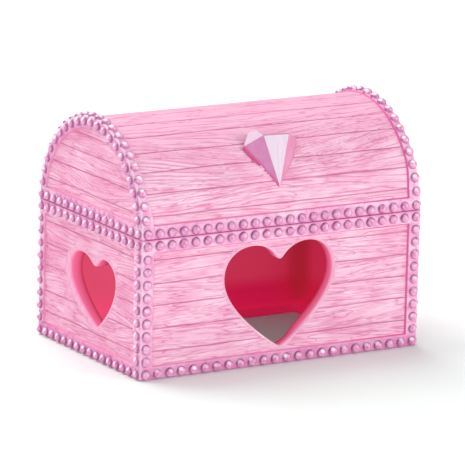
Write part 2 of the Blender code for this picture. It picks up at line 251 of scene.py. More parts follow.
# Slope of the grain on each plank, from the lowest up, and how the lines between the planks wave
WALL_SLOPES = [0.05, -0.03, 0.04, -0.06, 0.07, 0.03]
END_SLOPES = [0.03, -0.08, 0.12, 0.05, -0.06, 0.05, -0.13, 0.04, 0.08, 0.02]
LID_SLOPES = [
    -0.03, 0.05, -0.08, -0.18, -0.12, -0.06, 0.08, -0.06, 0.05, -0.04, 0.06, -0.05, 0.04, -0.06, 0.03,
]
LINE_WAVE = 0.35 * MM
LINE_WAVE_LENGTH = 34 * MM
LINE_WAVES_APART = 7.3

# Carved lines: width and depth of each family, and how veins, fibres, their fan and their strength are spaced
LINE_WIDTH = 0.42 * MM
LINE_DEPTH = 0.34 * MM
VEIN_SPACING = (38 * MM, 2.8 * MM)
VEIN_WIDTH = 0.4 * MM
VEIN_DEPTH = 0.2 * MM
FIBRE_SPACING = (19 * MM, 1.15 * MM)
FIBRE_WIDTH = 0.3 * MM
FIBRE_DEPTH = 0.12 * MM
FAR_FROM_LINE = 3 * MM
FAN = 1.0 * MM
FAN_SPACING = (45 * MM, 14 * MM)
STRENGTH_SPACING = (16 * MM, 5 * MM)
FAN_SEED, VEIN_SEED, FIBRE_SEED, STRENGTH_SEED = 50, 60, 70, 80

# Flowing lines: a noise and a finer one, where each starts; and knots, by their place and half their size
FLOW_SHIFT = (31.7, 11.3)
FINER = 2.1
FINER_SHIFT = 5.1
KNOT_HEIGHT = 1.3
FRONT_KNOTS = MM * np.array([(-42, 14.5, 9, 2.4), (46, 15.5, 8, 2.0), (38, 43, 9, 1.8)])

# Where points meet, the least height of a triangle, and how clear of a hole other points stay
WELD = 0.004 * MM
THINNEST = 0.00004 * MM
JOINED_IN_MM = 1e-4
HOLE_MARGIN = 0.3 * MM

# Values in mm that the materials read: far from any panel or seam, on a rim, and between the faces' grain
OFF_PANEL = -99
RIM_LEVEL = 9
FACE_APART = 1000


def noise(u, v, seed):
    """Smooth noise from about -1 to 1 whose features are one unit across."""
    random = np.random.default_rng(seed)
    size = 64
    angles = random.uniform(0, 2 * pi, (size, size))
    cell_u, cell_v = np.floor(u).astype(int), np.floor(v).astype(int)
    part_u, part_v = u - cell_u, v - cell_v
    ease_u = part_u ** 3 * (part_u * (part_u * 6 - 15) + 10)
    ease_v = part_v ** 3 * (part_v * (part_v * 6 - 15) + 10)
    total = np.zeros_like(u)
    for i in (0, 1):
        for j in (0, 1):
            angle = angles[(cell_u + i) % size, (cell_v + j) % size]
            slope = np.cos(angle) * (part_u - i) + np.sin(angle) * (part_v - j)
            total += slope * (ease_u if i else 1 - ease_u) * (ease_v if j else 1 - ease_v)
    return total * 1.5


def columns(*parts):
    """Array of rows from their columns, where a single number goes for every row."""
    return np.stack(np.broadcast_arrays(*parts), axis=1)


def arc_point(radius, angle):
    """Depth and height of a point on the lid's arc, seen from the end."""
    return (-radius * np.cos(angle), LID_CENTRE + radius * np.sin(angle))


def smooth_step(value, low, high):
    """Rises from 0 at low to 1 at high."""
    t = np.clip((value - low) / (high - low), 0, 1)
    return t * t * (3 - 2 * t)


def stations(length, near_start, near_end, pitch):
    """Places from 0 to length: the given ones by its ends, and about a pitch apart elsewhere."""
    fixed = sorted({0.0, length, *near_start, *(length - distance for distance in near_end)})
    places = []
    for start, end in zip(fixed, fixed[1:]):
        count = max(1, round((end - start) / pitch))
        places += [start + (end - start) * i / count for i in range(count)]
    return np.array(places + [length])


STEP_STATIONS = [BAND + STEP_WIDTH * share for share in (-1.6, -0.8, 0, 0.8, 1.6)]
SEAM_STATIONS = [SEAM_HALF_WIDTH * share for share in (0, 0.35, 0.7, 1.0, 1.5)]


class Skin:
    """Outside or inside of the casting's wall: a barrel box with rounded edges."""

    def __init__(self, inset, floor, radius, corner_steps, rib=0):
        self.half_length = LENGTH / 2 - inset
        self.lid_radius = LID_RADIUS - inset
        self.half_depth = self.lid_radius * cos(LID_START)
        self.seam = LID_CENTRE + self.lid_radius * sin(LID_START)
        self.lid_arc = self.lid_radius * LID_SWEEP
        self.floor = floor
        self.radius = radius
        self.rib = rib
        # Distances from an edge that become even steps once it is rounded
        shares = [1 - tan(pi / 4 * i / corner_steps) for i in range(corner_steps)]
        self.corner = [radius * share for share in shares] + [0.0]

    def rounded(self, points):
        """Points of the sharp-edged shape moved onto the rounded one."""
        x, y, z = points.T
        core_length = self.half_length - self.radius
        core_depth = self.half_depth - self.radius
        core_radius = self.lid_radius - self.radius
        reach = np.hypot(y, z - LID_CENTRE)
        shrink = core_radius / np.maximum(reach, core_radius)
        under_lid = z > LID_CENTRE
        core = columns(
            np.clip(x, -core_length, core_length),
            np.where(under_lid, y * shrink, np.clip(y, -core_depth, core_depth)),
            np.where(
                under_lid,
                LID_CENTRE + (z - LID_CENTRE) * shrink,
                np.maximum(z, self.floor + self.radius),
            ),
        )
        way = points - core
        way = way / np.linalg.norm(way, axis=1, keepdims=True)
        across = np.where(under_lid, np.hypot(way[:, 1], way[:, 2]), np.abs(way[:, 1]))
        rib = self.rib * (2 * way[:, 0] * across) ** 2
        return core + way * (self.radius + rib)[:, None]

    def wall(self, side):
        """Front wall for side -1, back wall for 1, from x and height."""
        def place(u, v):
            return columns(u, side * self.half_depth, v), np.array((0, side, 0))
        return place

    def end(self, side):
        """Left end for side -1, right end for 1, from y and height."""
        def place(u, v):
            return columns(side * self.half_length, u, v), np.array((side, 0, 0))
        return place

    def lid(self, u, v):
        """Lid, from x and the distance over it from the front seam; its end bands narrow over the arch."""
        from_end = self.half_length - np.abs(u)
        near_band = smooth_step(from_end, 0, BAND) * smooth_step(from_end, ARCH_REACH, BAND)
        up_arch = smooth_step(np.minimum(v, self.lid_arc - v), *ARCH_START)
        u = u + np.sign(u) * ARCH_NARROWS * near_band * up_arch
        lean = np.pi * v / self.lid_arc
        points = columns(u, *arc_point(self.lid_radius, LID_START + v / self.lid_radius))
        return points, columns(0, -np.cos(lean), np.sin(lean))

    def base(self, u, v):
        """Underside or floor, from x and y."""
        return columns(u, v, self.floor), np.array((0, 0, -1))

    def half_width(self, z, inset):
        """Half the width of an end at a height, less an inset."""
        if z > LID_CENTRE:
            return sqrt((self.lid_radius - inset) ** 2 - (z - LID_CENTRE) ** 2)
        return self.half_depth - inset


OUTSIDE = Skin(0, 0, EDGE_ROUND, EDGE_STEPS, RIB)
INSIDE = Skin(WALL, FLOOR, INSIDE_ROUND, INSIDE_STEPS)


class Casting:
    """Gathers the casting's mesh patch by patch, with three sets of values for its material.

    Lines holds the distances in mm to the three families of carved lines; edges those to the panel's edge
    and the seam, and how far inside a point is; grain the place along and across the planks, and 1 on the
    rib at the corners, where the material paints a highlight.
    """

    def __init__(self):
        self.points, self.faces = [], []
        self.values = {"lines": [], "edges": [], "grain": []}

    def add(self, points, faces, lines=FAR_FROM_LINE / MM, edges=(OFF_PANEL, OFF_PANEL, 1), grain=None):
        """Adds points and faces, with their values."""
        grain = points / MM * (1, 1, 0) if grain is None else grain
        for values, part in zip(self.values.values(), (lines, edges, grain)):
            values.append(np.broadcast_to(part, points.shape))
        self.faces += (faces + sum(map(len, self.points))).tolist()
        self.points.append(points)

    def build(self, name, material):
        """Welds the patches into one closed mesh object."""
        mesh = new_mesh(name, self.points, self.faces, self.values)
        bm = bmesh.new()
        bm.from_mesh(mesh)
        bmesh.ops.remove_doubles(bm, verts=bm.verts, dist=WELD)
        bmesh.ops.recalc_face_normals(bm, faces=bm.faces)
        bm.to_mesh(mesh)
        bm.free()
        mesh.shade_smooth()
        return add_object(name, mesh, material)


def new_mesh(name, patches, faces, values=()):
    """Mesh from arrays of points, with values for its material, single or in threes."""
    mesh = bpy.data.meshes.new(name)
    mesh.from_pydata(np.concatenate(patches).tolist(), [], faces)
    for label, parts in dict(values).items():
        value = np.concatenate(parts).astype(np.float32)
        kind, key = ("FLOAT", "value") if value.ndim == 1 else ("FLOAT_VECTOR", "vector")
        mesh.attributes.new(label, kind, "POINT").data.foreach_set(key, value.ravel())
    return mesh


def add_object(name, data, material=None):
    """Object of a mesh, a light or a camera, in the scene."""
    obj = bpy.data.objects.new(name, data)
    if material:
        data.materials.append(material)
    bpy.context.scene.collection.objects.link(obj)
    return obj


def inside_loop(points, loop):
    """Which points lie inside a closed loop."""
    inside = np.zeros(len(points), bool)
    x, y = points.T
    for (x0, y0), (x1, y1) in zip(loop, np.roll(loop, -1, axis=0)):
        crosses = (y0 > y) != (y1 > y)
        if y0 != y1:
            inside ^= crosses & (x < (x1 - x0) * (y - y0) / (y1 - y0) + x0)
    return inside


def distance_to_loop(points, loop):
    """Distance from each point to the nearest point of a closed loop."""
    nearest = np.full(len(points), np.inf)
    for start, end in zip(loop, np.roll(loop, -1, axis=0)):
        run = end - start
        share = np.clip(((points - start) @ run) / (run @ run), 0, 1)
        nearest = np.minimum(nearest, np.linalg.norm(points - start - share[:, None] * run, axis=1))
    return nearest


def triangulate(rows, hole=None):
    """Triangles over rows of points, up to the loop round a hole."""
    points, edges = [], []
    for row, closed in rows:
        keep = np.ones(len(row), bool)
        if hole is not None:
            keep = ~inside_loop(row, hole) & (distance_to_loop(row, hole) > HOLE_MARGIN)
        ids = {}
        for i in np.flatnonzero(keep):
            ids[i] = len(points)
            points.append(row[i])
        pairs = [(i, i + 1) for i in range(len(row) - 1)] + ([(len(row) - 1, 0)] if closed else [])
        edges += [(ids[a], ids[b]) for a, b in pairs if a in ids and b in ids]
    if hole is not None:
        first = len(points)
        points += list(hole)
        edges += [(first + i, first + (i + 1) % len(hole)) for i in range(len(hole))]
    flat = [Vector(point / MM) for point in points]
    found, _, faces, *_ = delaunay_2d_cdt(flat, edges, [], 0, JOINED_IN_MM, False)
    spots = np.array([point[:] for point in found]) * MM
    faces = np.array(faces)
    if hole is not None:
        faces = faces[~inside_loop(spots[faces].mean(axis=1), hole)]
    sides = np.roll(spots[faces], -1, axis=1) - spots[faces]
    area = np.abs(sides[:, 0, 0] * sides[:, 1, 1] - sides[:, 0, 1] * sides[:, 1, 0])
    return spots, faces[area > THINNEST * np.linalg.norm(sides, axis=2).max(axis=1)]


def rows_at(us, vs):
    """Open rows of points, one at each v."""
    return [(columns(us, v), False) for v in vs]


def box_loop(us, vs):
    """Closed loop of points round a rectangle."""
    bottom, top = (columns(us, v) for v in vs[[0, -1]])
    left, right = (columns(u, vs) for u in us[[0, -1]])
    return np.concatenate([bottom, right[1:], top[::-1][1:], left[::-1][1:-1]]), True


def grid(us, vs):
    """Points over a rectangle, its edge as one closed loop."""
    return [box_loop(us, vs)] + rows_at(us[1:-1], vs[1:-1])


def end_outline(skin, inset, ys, zs, arc):
    """Closed outline of an end, pulled in from the walls, floor and lid."""
    lid = columns(*arc_point(skin.lid_radius, LID_START + arc / skin.lid_radius))
    front, back = (columns(side * skin.half_depth, zs) for side in (-1, 1))
    loop = np.concatenate([columns(ys, skin.floor), back[1:], lid[::-1][1:], front[::-1][1:-1]])
    if inset == 0:
        return loop
    y, z = loop.T
    radius = skin.lid_radius - inset
    side = skin.half_depth - inset
    level = 1 - smooth_step(z, *SEAM_REACH)
    z_arch = LID_CENTRE + (z - LID_CENTRE) * (level + (1 - level) * radius / skin.lid_radius)
    y_arch = np.sign(y) * np.sqrt(np.maximum(radius ** 2 - (z_arch - LID_CENTRE) ** 2, 0))
    in_arch = z > LID_CENTRE
    y_in = np.where(in_arch, y_arch, np.clip(y, -side, side))
    z_in = np.where(in_arch, z_arch, np.maximum(z, skin.floor + inset))
    loop = columns(y_in, z_in)
    gaps = np.linalg.norm(loop - np.roll(loop, 1, axis=0), axis=1)
    return loop[gaps > WELD]


def plank_lines(u, v, levels, seed):
    """Signed distance to the nearest of the lines between planks, and each point's plank."""
    nearest = np.full_like(u, np.inf)
    plank = np.zeros(len(u), int)
    for i, level in enumerate(levels):
        wave = noise(u / LINE_WAVE_LENGTH, np.full_like(u, LINE_WAVES_APART * i), seed + i)
        line = level + LINE_WAVE * wave
        nearest = np.minimum(nearest, np.abs(v - line))
        plank += v > line
    return nearest * np.where(plank % 2 == 0, 1, -1), plank


def contour_lines(u, v, spacing, seed, knots):
    """Signed distance to flowing lines, which run where a stretched noise is zero."""
    def height(u, v):
        value = noise(u / spacing[0] + FLOW_SHIFT[0], v / spacing[1] + FLOW_SHIFT[1], seed)
        finer = noise(FINER * u / spacing[0], FINER * v / spacing[1] + FINER_SHIFT, seed + 1)
        value += 0.5 * finer
        for knot_u, knot_v, half_u, half_v in knots:
            value += KNOT_HEIGHT * np.exp(-((u - knot_u) / half_u) ** 2 - ((v - knot_v) / half_v) ** 2)
        return value
    nudge = 0.02 * MM
    value = height(u, v)
    rise_u = (height(u + nudge, v) - value) / nudge
    rise_v = (height(u, v + nudge) - value) / nudge
    return value / np.maximum(np.hypot(rise_u, rise_v), 0.25 / spacing[1])


def groove(distance, width):
    """Depth of a soft groove, 1 on its line."""
    return np.exp(-(distance / width) ** 2)


def carve(u, v, levels, slopes, seed, knots):
    """Relief of the planks, the three families of lines in it, and the height that the grain follows."""
    planks, plank = plank_lines(u, v, levels, seed)
    fan, strength = (
        noise(u / spacing[0], v / spacing[1], seed + own_seed)
        for spacing, own_seed in ((FAN_SPACING, FAN_SEED), (STRENGTH_SPACING, STRENGTH_SEED))
    )
    flow = v + np.array(slopes)[plank] * np.abs(u) + FAN * fan
    veins = contour_lines(u, flow, VEIN_SPACING, seed + VEIN_SEED, knots)
    fibres = contour_lines(u, flow, FIBRE_SPACING, seed + FIBRE_SEED, knots)
    strength = 0.5 + 0.5 * np.clip(strength * 1.6 + 0.4, -1, 1)
    depth = LINE_DEPTH * groove(planks, LINE_WIDTH)
    depth += VEIN_DEPTH * strength * groove(veins, VEIN_WIDTH)
    depth += FIBRE_DEPTH * (1 - 0.5 * strength) * groove(fibres, FIBRE_WIDTH)
    lines = columns(planks, veins, fibres) / MM
    return depth, np.clip(lines, -FAR_FROM_LINE / MM, FAR_FROM_LINE / MM), flow


def outer_patch(casting, rows, place, distances, levels, slopes, seed, mouth=None, knots=()):
    """Adds a carved face of the outside; distances gives those to the frame's edge, seam and corners."""
    spots, faces = triangulate(rows, mouth)
    u, v = spots.T
    to_frame, to_seam, to_corner = distances(u, v)
    to_panel = np.minimum(to_frame, np.abs(to_seam)) - BAND
    depth, lines, flow = carve(u, v, levels, slopes, seed, knots)
    fade = smooth_step(to_panel, STEP_WIDTH, STEP_WIDTH + RELIEF_FADE)
    if mouth is not None:
        fade = fade * smooth_step(distance_to_loop(spots, mouth), 0, RELIEF_FADE)
    drop = PANEL_DROP * smooth_step(to_panel, -STEP_WIDTH, STEP_WIDTH) + depth * fade
    seam = SEAM_DEPTH * (1 - smooth_step(np.abs(to_seam), 0, SEAM_HALF_WIDTH))
    drop = drop + seam * smooth_step(to_corner, SEAM_STOP / 2, SEAM_STOP)
    sharp, out = place(u, v)
    # Mask of the rib at the corners, where the material paints a highlight
    rib = 1 - smooth_step(to_corner, 0.1 * EDGE_ROUND, 0.9 * EDGE_ROUND)
    edges = columns(to_panel / MM, to_seam / MM, 0)
    grain = columns(u / MM + FACE_APART * seed, flow / MM, rib)
    casting.add(OUTSIDE.rounded(sharp) - out * drop[:, None], faces, lines, edges, grain)


def wall_distances(u, v):
    """Distances on the front or back wall: to the frame's edge, the seam and the corners."""
    to_corner = OUTSIDE.half_length - np.abs(u)
    return np.minimum(to_corner, v), v - OUTSIDE.seam, to_corner


def lid_distances(u, v):
    """The same distances on the lid."""
    to_corner = OUTSIDE.half_length - np.abs(u)
    return to_corner, np.minimum(v, OUTSIDE.lid_arc - v), to_corner


def end_distances(u, v):
    """The same distances on an end, whose panel lies a little to the back."""
    to_corner, to_frame = (
        np.where(
            v > LID_CENTRE,
            OUTSIDE.lid_radius - np.hypot(u - shift, v - LID_CENTRE),
            OUTSIDE.half_depth - np.abs(u - shift),
        )
        for shift in (0, END_SHIFT)
    )
    return np.minimum(to_frame, v), v - OUTSIDE.seam, to_corner


def heart_loop(heart):
    """Closed loop of evenly spaced points round a heart, its tip and notch a little rounded."""
    def handle(name, neighbour):
        toward = HEART_HANDLES[name.split("_")[-1], neighbour.split("_")[-1]]
        return heart[name] + (heart[neighbour] - heart[name]) * toward

    names = list(heart)
    share = np.linspace(0, 1, HEART_CURVE_STEPS, endpoint=False)[:, None]
    curve = []
    for name, after in zip(names, names[1:] + names[:1]):
        leave, arrive = handle(name, after), handle(after, name)
        rest = 1 - share
        curve.append(
            rest ** 3 * heart[name] + 3 * rest ** 2 * share * leave
            + 3 * rest * share ** 2 * arrive + share ** 3 * heart[after]
        )
    curve = np.concatenate(curve)
    closed = np.concatenate([curve, curve[:1]])
    along = np.concatenate([[0], np.cumsum(np.linalg.norm(np.diff(closed, axis=0), axis=1))])
    count = round(along[-1] / HEART_PITCH)
    even = np.linspace(0, along[-1], count, endpoint=False)
    loop = columns(*(np.interp(even, along, part) for part in closed.T))
    reach = even - even[:, None]
    reach = np.minimum(np.abs(reach), along[-1] - np.abs(reach))
    from_notch = np.linalg.norm(loop - heart["notch"], axis=1)
    softness = TIP_SOFTNESS + (NOTCH_SOFTNESS - TIP_SOFTNESS) * smooth_step(from_notch, NOTCH_REACH, 0)
    weight = np.exp(-0.5 * (reach / softness[:, None]) ** 2)
    return weight @ loop / weight.sum(axis=1)[:, None]


def grown(loop, distance):
    """Loop moved outwards by a distance, less the points that cross over at its notch."""
    run = np.roll(loop, -1, axis=0) - np.roll(loop, 1, axis=0)
    out = columns(run[:, 1], -run[:, 0]) / np.linalg.norm(run, axis=1)[:, None]
    if not inside_loop(loop[:1] - out[:1] * WELD, loop)[0]:
        out = -out
    moved = loop + out * distance
    good = np.flatnonzero(distance_to_loop(moved, loop) > STILL_OUT * distance - WELD)
    place = np.arange(len(loop))
    return columns(*(np.interp(place, good, part, period=len(loop)) for part in moved[good].T))


def tube_faces(count, loops):
    """Faces between loops of the same count of points."""
    ring = np.arange(count)
    after = (ring + 1) % count
    band = columns(ring, after, after + count, ring + count)
    return np.concatenate([band + count * i for i in range(loops - 1)])


def add_tube(casting, loops, insides):
    """Adds the wall of an opening, loop by loop; insides says how far inside each loop is."""
    count = len(loops[0])
    edges = columns(RIM_LEVEL, -OFF_PANEL, np.repeat(insides, count))
    casting.add(np.concatenate(loops), tube_faces(count, len(loops)), edges=edges)


def round_rim(radius, steps):
    """How far out and how deep the steps of a rounded rim are, from the face inwards."""
    turns = [pi / 2 * i / steps for i in range(steps + 1)]
    return [(radius * (1 - sin(turn)), radius * (1 - cos(turn))) for turn in turns]


def heart_mouths(heart, point, move, reach):
    """Loops of a heart's outer and inner mouths, which differ near one of its points."""
    loop = heart_loop(heart)
    near = smooth_step(np.linalg.norm(loop - heart[point], axis=1), reach, 0)
    return loop, loop + near[:, None] * move


def heart_wall(casting, loop, inner_loop, rim, outer_place, inner_place):
    """Adds the wall round a heart opening, its rims rounded."""
    thickness = WALL - PANEL_DROP
    inner_rim = round_rim(HEART_INNER_RIM, RIM_STEPS)[::-1]
    profile = round_rim(rim, RIM_STEPS) + [(0, thickness * share) for share in WALL_SHARES]
    profile += [(offset, thickness - depth) for offset, depth in inner_rim]
    loops = []
    for offset, depth in profile:
        outer, out = outer_place(*grown(loop, offset).T)
        inner, _ = inner_place(*grown(inner_loop, offset).T)
        near = OUTSIDE.rounded(outer) - out * (PANEL_DROP + depth)
        far = INSIDE.rounded(inner) + out * (thickness - depth)
        loops.append(near + (far - near) * depth / thickness)
    depths = np.array([depth for _, depth in profile]) / thickness
    add_tube(casting, loops, depths)


def opening_loop(offset):
    """Loop round the floor opening, moved outwards by an offset."""
    half_x, half_y = (half - FLOOR_LIP - FLOOR_CORNER for half in (OUTSIDE.half_length, OUTSIDE.half_depth))
    corners = np.array([(half_x, half_y), (-half_x, half_y), (-half_x, -half_y), (half_x, -half_y)])
    reach = FLOOR_CORNER + offset
    points = []
    for quarter, (corner, after) in enumerate(zip(corners, np.roll(corners, -1, axis=0))):
        for i in range(FLOOR_CORNER_STEPS + 1):
            turn = pi / 2 * (quarter + i / FLOOR_CORNER_STEPS)
            points.append(corner + (reach * cos(turn), reach * sin(turn)))
        count = round(np.linalg.norm(after - corner) / PLAIN)
        last = points[-1]
        points += [last + (after - corner) / count * i for i in range(1, count)]
    return np.array(points)


def floor_ring(casting):
    """Adds the wall of the floor opening, both rims rounded."""
    profile = round_rim(FLOOR_RIM, FLOOR_RIM_STEPS)
    profile += [(offset, FLOOR - height) for offset, height in profile[::-1]]
    loops = [columns(*opening_loop(offset).T, height) for offset, height in profile]
    add_tube(casting, loops, np.ones(len(loops)))


def inner_patch(casting, rows, place, hole=None):
    """Adds a smooth crimson face of the inside."""
    spots, faces = triangulate(rows, hole)
    points, _ = place(*spots.T)
    casting.add(INSIDE.rounded(points), faces)


def centred(half, near, pitch):
    """Stations from -half to half, the given ones by both ends."""
    return stations(2 * half, near, near, pitch) - half


def outside(casting, front_heart, end_heart):
    """Adds the carved outside: walls, lid, ends and underside."""
    skin = OUTSIDE
    edge = skin.corner + STEP_STATIONS
    seam = SEAM_STATIONS + STEP_STATIONS
    fine_x, far_x, fine_y, far_y = (
        centred(half, edge, pitch[0]) for half in (skin.half_length, skin.half_depth) for pitch in (FINE, FAR)
    )
    fine_z, far_z, arc, far_arc = (
        stations(length, near, seam, pitch[1])
        for length, near in ((skin.seam, edge), (skin.lid_arc, seam))
        for pitch in (FINE, FAR)
    )
    turn = skin.lid_arc * FINE_OVER_LID
    arc = np.concatenate([arc[arc < turn], far_arc[far_arc > turn + FAR[1] / 2]])

    front = grid(fine_x, fine_z)
    mouth = grown(front_heart, FRONT_RIM)
    outer_patch(casting, front, skin.wall(-1), wall_distances, WALL_LINES, WALL_SLOPES, 1, mouth, FRONT_KNOTS)
    back = [box_loop(fine_x, fine_z)] + rows_at(far_x[1:-1], far_z[1:-1])
    outer_patch(casting, back, skin.wall(1), wall_distances, WALL_LINES, WALL_SLOPES, 2)
    within = arc[1:-1]
    lid = [box_loop(fine_x, arc)] + rows_at(fine_x[1:-1], within[within < turn])
    lid += rows_at(far_x[1:-1], within[within > turn])
    outer_patch(casting, lid, skin.lid, lid_distances, LID_LINES, LID_SLOPES, 3)

    insets = [(inset, 0) for inset in [0] + skin.corner] + [(inset, END_SHIFT) for inset in STEP_STATIONS]
    rings = [(end_outline(skin, inset, fine_y, fine_z, arc) + (shift, 0), True) for inset, shift in insets]
    band_z = sorted({skin.seam + sign * place for place in seam for sign in (-1, 1)})
    clear = BAND + 2 * STEP_WIDTH
    top = LID_CENTRE + skin.lid_radius - clear
    for side, ys, pitch, hole, seed in (
        (-1, fine_y, FINE, grown(end_heart, END_RIM), 4),
        (1, far_y, FAR, None, 5),
    ):
        rows = rings + rows_at(ys[np.abs(ys - END_SHIFT) < skin.half_depth - clear], band_z)
        low = np.arange(clear, skin.seam - clear, pitch[1])
        high = np.arange(skin.seam + clear, top, pitch[1])
        for z in np.concatenate([low, high]):
            rows += rows_at(ys[np.abs(ys - END_SHIFT) < skin.half_width(z, clear)], [z])
        outer_patch(casting, rows, skin.end(side), end_distances, END_LINES, END_SLOPES, seed, hole)

    base_x, base_y = (centred(half, skin.corner, PLAIN) for half in (skin.half_length, skin.half_depth))
    base = [box_loop(fine_x, fine_y)] + rows_at(base_x[1:-1], base_y[1:-1])
    spots, faces = triangulate(base, opening_loop(FLOOR_RIM))
    points, _ = skin.base(*spots.T)
    casting.add(skin.rounded(points), faces, edges=(OFF_PANEL, -OFF_PANEL, 0))


def hollow(casting, front_heart, end_heart):
    """Adds the smooth inside: walls, lid, ends and floor."""
    skin = INSIDE
    xs, ys = (centred(half, skin.corner, PLAIN) for half in (skin.half_length, skin.half_depth))
    zs = stations(skin.seam - skin.floor, skin.corner, [], PLAIN) + skin.floor
    arc = stations(skin.lid_arc, [], [], PLAIN)
    for side, hole in ((-1, grown(front_heart, HEART_INNER_RIM)), (1, None)):
        inner_patch(casting, grid(xs, zs), skin.wall(side), hole)
    inner_patch(casting, grid(xs, arc), skin.lid)
    rows = [(end_outline(skin, inset, ys, zs, arc), True) for inset in [0] + skin.corner]
    top = LID_CENTRE + skin.lid_radius - skin.radius
    for z in np.arange(skin.floor + skin.radius + PLAIN, top, PLAIN):
        rows += rows_at(ys[np.abs(ys) < skin.half_width(z, skin.radius) - PLAIN / 3], [z])
    for side, hole in ((-1, grown(end_heart, HEART_INNER_RIM)), (1, None)):
        inner_patch(casting, rows, skin.end(side), hole)
    inner_patch(casting, grid(xs, ys), skin.base, opening_loop(FLOOR_RIM))


def make_casting():
    """The chest without its beads and gem, one closed mesh."""
    casting = Casting()
    front = heart_mouths(FRONT_HEART, *FRONT_DRAW)
    end = [loop * (-1, 1) for loop in heart_mouths(END_HEART, *END_DRAW)]
    outside(casting, front[0], end[0])
    hollow(casting, front[1], end[1])
    heart_wall(casting, *front, FRONT_RIM, OUTSIDE.wall(-1), INSIDE.wall(-1))
    heart_wall(casting, *end, END_RIM, OUTSIDE.end(-1), INSIDE.end(-1))
    floor_ring(casting)
    return casting.build("casting", casting_material())


def bead_places():
    """Every bead's place, with the direction it faces."""
    half_length, half_depth = OUTSIDE.half_length - BEAD_INSET, OUTSIDE.half_depth - BEAD_INSET
    along_x = np.linspace(-half_length, half_length, BEADS_ALONG_LENGTH)
    along_y = np.linspace(-half_depth, half_depth, BEADS_ALONG_DEPTH) + END_BEAD_SHIFT
    foot, under, over = BEAD_INSET, SEAM_HEIGHT - BEADS_UNDER_SEAM, SEAM_HEIGHT + BEADS_OVER_SEAM
    columns_z = np.linspace(foot, under, BEADS_UP_WALL)[1:-1]

    def rows_and_columns(along, heights):
        corners = (along[0], along[-1])
        return [(u, z) for z in heights for u in along] + [(u, z) for u in corners for z in columns_z]

    places = []
    for side in (-1, 1):
        wall, end = side * OUTSIDE.half_depth, side * OUTSIDE.half_length
        places += [((x, wall, z), (0, side, 0)) for x, z in rows_and_columns(along_x, (foot, under))]
        places += [((end, y, z), (side, 0, 0)) for y, z in rows_and_columns(along_y, (foot, under, over))]
        radius = LID_RADIUS - BEAD_INSET
        start = asin((over - LID_CENTRE) / radius)
        for angle in np.linspace(start, pi - start, BEADS_ROUND_END)[1:-1]:
            y, z = arc_point(radius, angle)
            places.append(((end, y + END_BEAD_SHIFT, z), (side, 0, 0)))
    start = LID_START + BEADS_OVER_SEAM / LID_RADIUS
    angles = np.linspace(start, pi - start, BEADS_OVER_LID)
    over_arch = OUTSIDE.half_length - ARCH_BEAD_INSET
    for angle in angles:
        row = along_x if angle in (angles[0], angles[-1]) else (-over_arch, over_arch)
        out = (0, -cos(angle), sin(angle))
        places += [((x, *arc_point(LID_RADIUS, angle)), out) for x in row]
    return places


def bead_shape():
    """Points and faces of one bead, a dome with its foot sunk in the band."""
    turns = [2 * pi * i / BEAD_SEGMENTS for i in range(BEAD_SEGMENTS)]
    lifts = [pi / 2 * i / BEAD_RINGS for i in range(BEAD_RINGS)]
    rings = [(BEAD_RADIUS, -BEAD_SUNK)]
    rings += [(BEAD_RADIUS * cos(lift), BEAD_HEIGHT * sin(lift)) for lift in lifts]
    points = [(out * cos(turn), out * sin(turn), height) for out, height in rings for turn in turns]
    points.append((0, 0, BEAD_HEIGHT))
    ring = np.arange(BEAD_SEGMENTS)
    last = ring + BEAD_RINGS * BEAD_SEGMENTS
    faces = [ring[::-1], *tube_faces(BEAD_SEGMENTS, len(rings))]
    faces += [(a, b, len(points) - 1) for a, b in zip(last, np.roll(last, -1))]
    return np.array(points), faces


def painted_highlight_strength(place, out, random):
    """Strength of a bead's painted highlight: most on the ends and over the arches, least along the seam."""
    if out[0] != 0:
        return PAINTED_HIGHLIGHT_STRENGTHS["end"]
    if place[2] < BAND:
        return random.uniform(*FOOT_HIGHLIGHT_STRENGTHS)
    if abs(place[0]) > OUTSIDE.half_length - BAND:
        return PAINTED_HIGHLIGHT_STRENGTHS["arch" if place[2] > SEAM_HEIGHT + BAND else "corner"]
    return PAINTED_HIGHLIGHT_STRENGTHS["seam"]


def make_beads():
    """All the beads as one object.

    Its material reads how far a point is out from the bead's middle, 0 to 1, how far to its painted shade
    side,
    -1 to 1, the bead's own tint, 0 to 1, and apart from these, how strong its painted highlight is there, 0
    to 1.
    """
    shape, shape_faces = bead_shape()
    reach = np.hypot(shape[:, 0], shape[:, 1]) / BEAD_RADIUS
    random = np.random.default_rng(BEAD_SEED)
    points, faces, values, painted_highlights = [], [], [], []
    for place, out in bead_places():
        turn = np.array(Vector(out).to_track_quat("Z", "Y").to_matrix())
        size = random.uniform(*BEAD_SIZES) * (END_BEAD_SIZE if out[0] else 1)
        spots = shape @ turn.T * size
        faces += [(np.array(face) + len(points) * len(shape)).tolist() for face in shape_faces]
        points.append(spots + np.array(place))
        shade_side, highlight_way = (END_PAINTED_SHADE_SIDE, END_PAINTED_HIGHLIGHT_WAY) if out[0] else (PAINTED_SHADE_SIDE, PAINTED_HIGHLIGHT_WAY)
        ways = spots / np.linalg.norm(spots, axis=1, keepdims=True)
        # The way of each bead's painted highlight, varied a little
        highlight_way = np.array(highlight_way) + random.normal(0, PAINTED_HIGHLIGHT_SPREAD, 3)
        highlight_way /= np.linalg.norm(highlight_way)
        painted_highlights.append(smooth_step(ways @ highlight_way, *PAINTED_HIGHLIGHT_EDGE) * painted_highlight_strength(place, out, random))
        by_seam = out[0] == 0 and abs(place[2] - SEAM_HEIGHT) < BAND
        tint = random.uniform(*BEAD_TINTS) + (DEEPER_TINT if by_seam or place[2] < BAND else 0)
        values.append(columns(reach, spots @ np.array(shade_side) / BEAD_RADIUS, tint))
    mesh = new_mesh("beads", points, faces, {"bead": values, "painted_highlight": painted_highlights})
    mesh.shade_smooth()
    return add_object("beads", mesh, bead_material())


